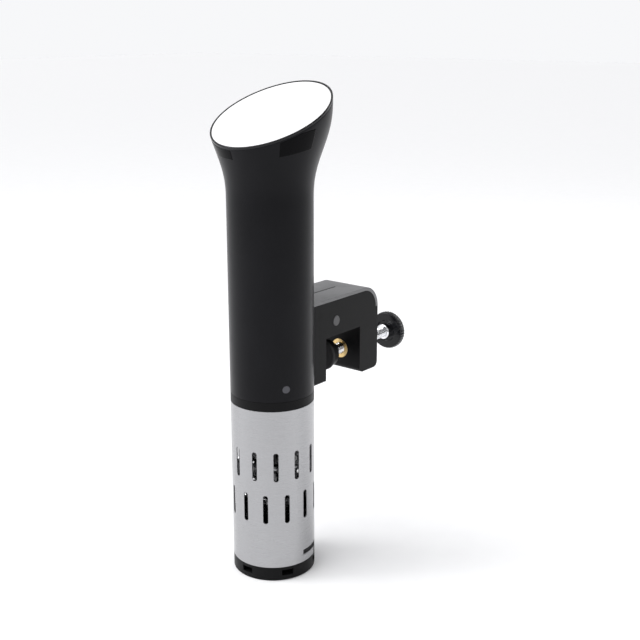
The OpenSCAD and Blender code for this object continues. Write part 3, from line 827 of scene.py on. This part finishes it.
class CIRCULATOR_OT_stage(bpy.types.Operator):
    """Set the camera, the soft lights and the pale floor"""
    bl_idname = "circulator.stage"
    bl_label = "Stage"

    def execute(self, context):
        sizes = context.scene.circulator_stage
        low, high = (np.array(c) for c in cad_box)
        centre = (low + high) / 2
        self.camera(sizes, Vector(centre))
        self.floor(float(low[2]))
        self.light("key", (-1.0, -0.9, 0.9), centre, 0.5, 8)
        self.light("fill", (1.1, 0.2, 0.5), centre, 0.4, 2)
        self.light("rim", (0.5, 1.1, 0.6), centre, 0.5, 4)
        self.sun(1.9)
        self.studio(context.scene)
        context.scene.view_settings.view_transform = "Standard"
        return {"FINISHED"}

    def studio(self, scene):
        """A surround of strength 0.45 + slope . direction, brighter above and to the left, and
        0.95 where the camera sees it."""
        t = Tree("studio", bpy.data.worlds)
        slope = t.add("VectorMath", {0: t.add("TexCoord", {}, "Generated"),
                                     1: (-0.3, -0.05, 0.2)}, "Value", operation="DOT_PRODUCT")
        seen = t.add("LightPath", {}, "Is Camera Ray")
        strength = slope.math("MAXIMUM", slope + 0.45, seen * 0.95)
        sky = t.add("Background", {"Color": (0.98, 0.985, 1.0), "Strength": strength},
                    "Background")
        t.add("OutputWorld", {"Surface": sky})
        scene.world = t.owner

    def camera(self, sizes, target):
        """The scene's camera, turned towards the target."""
        data = bpy.data.cameras.new("camera")
        data.lens = sizes.lens
        data.sensor_width = 36
        data.clip_end = 20
        camera = bpy.data.objects.new("camera", data)
        camera.location = (sizes.camera_side, AXIS_Y - sizes.camera_back, sizes.camera_up)
        camera.rotation_euler = (target - camera.location).to_track_quat("-Z", "Y").to_euler()
        bpy.context.scene.collection.objects.link(camera)
        bpy.context.scene.camera = camera

    def floor(self, z):
        """A wide pale sheet under the foot, a grid of points at one height."""
        count = 9
        side = np.linspace(-FAR_FLOOR, FAR_FLOOR, count)
        x, y = np.meshgrid(side, side, indexing="ij")
        points = np.stack([x, y, np.full_like(x, z - 0.5 * MM)], -1).reshape(-1, 3)
        mesh = bpy.data.meshes.new("floor")
        quads = grid_faces(count, count, wrap_columns=False)[:, ::-1]
        mesh.from_pydata(points.tolist(), [], quads.tolist())
        sheet = bpy.data.objects.new("floor", mesh)
        bpy.context.scene.collection.objects.link(sheet)
        t = Tree("floor_paper")
        grain = t.noise(60, 4)
        tone = t.mix(grain, (0.86, 0.86, 0.87), (0.9, 0.9, 0.905))
        mesh.materials.append(t.finish(tone, 0.6))

    def sun(self, strength):
        """A wide soft sun from above, which lights the whole floor evenly."""
        data = bpy.data.lights.new("sky", "SUN")
        data.energy = strength
        data.angle = math.radians(50)
        lamp = bpy.data.objects.new("sky", data)
        lamp.rotation_euler = (math.radians(25), math.radians(-15), 0)
        bpy.context.scene.collection.objects.link(lamp)

    def light(self, name, place, target, size, power):
        """A rectangular lamp at a place, facing the target, with its power in watts."""
        data = bpy.data.lights.new(name, "AREA")
        data.shape = "RECTANGLE"
        data.size, data.size_y = size, size * 1.4
        data.energy = power
        lamp = bpy.data.objects.new(name, data)
        lamp.location = place
        aim = Vector(target) - lamp.location
        lamp.rotation_euler = aim.to_track_quat("-Z", "Y").to_euler()
        bpy.context.scene.collection.objects.link(lamp)


class CIRCULATOR_PT_panel(bpy.types.Panel):
    """Lists the sizes and the steps"""
    bl_idname = "CIRCULATOR_PT_panel"
    bl_label = "Circulator"
    bl_space_type = "VIEW_3D"
    bl_region_type = "UI"
    bl_category = "Circulator"

    def draw(self, context):
        scene = context.scene
        for group in GROUPS:
            for name in GROUPS[group].__annotations__:
                self.layout.prop(getattr(scene, group), name)
        for step in STEPS:
            self.layout.operator(step.bl_idname)


GROUPS = {"circulator_housing": HousingSizes, "circulator_clamp": ClampSizes,
          "circulator_finish": FinishColours, "circulator_stage": StageSizes}
STEPS = (CIRCULATOR_OT_stage, CIRCULATOR_OT_inner_parts, CIRCULATOR_OT_housing,
         CIRCULATOR_OT_face, CIRCULATOR_OT_clamp, CIRCULATOR_OT_thumb_screw,
         CIRCULATOR_OT_lower_body)


def register():
    for cls in (*GROUPS.values(), *STEPS, CIRCULATOR_PT_panel):
        bpy.utils.register_class(cls)
    for name, group in GROUPS.items():
        setattr(bpy.types.Scene, name, PointerProperty(type=group))


def unregister():
    for name in GROUPS:
        delattr(bpy.types.Scene, name)
    for cls in reversed((*GROUPS.values(), *STEPS, CIRCULATOR_PT_panel)):
        bpy.utils.unregister_class(cls)


def main():
    register()
    bpy.ops.circulator.stage()
    bpy.ops.circulator.inner_parts()
    bpy.ops.circulator.housing()
    bpy.ops.circulator.face()
    bpy.ops.circulator.clamp()
    bpy.ops.circulator.thumb_screw()
    bpy.ops.circulator.lower_body()


if __name__ == "__main__":
    main()
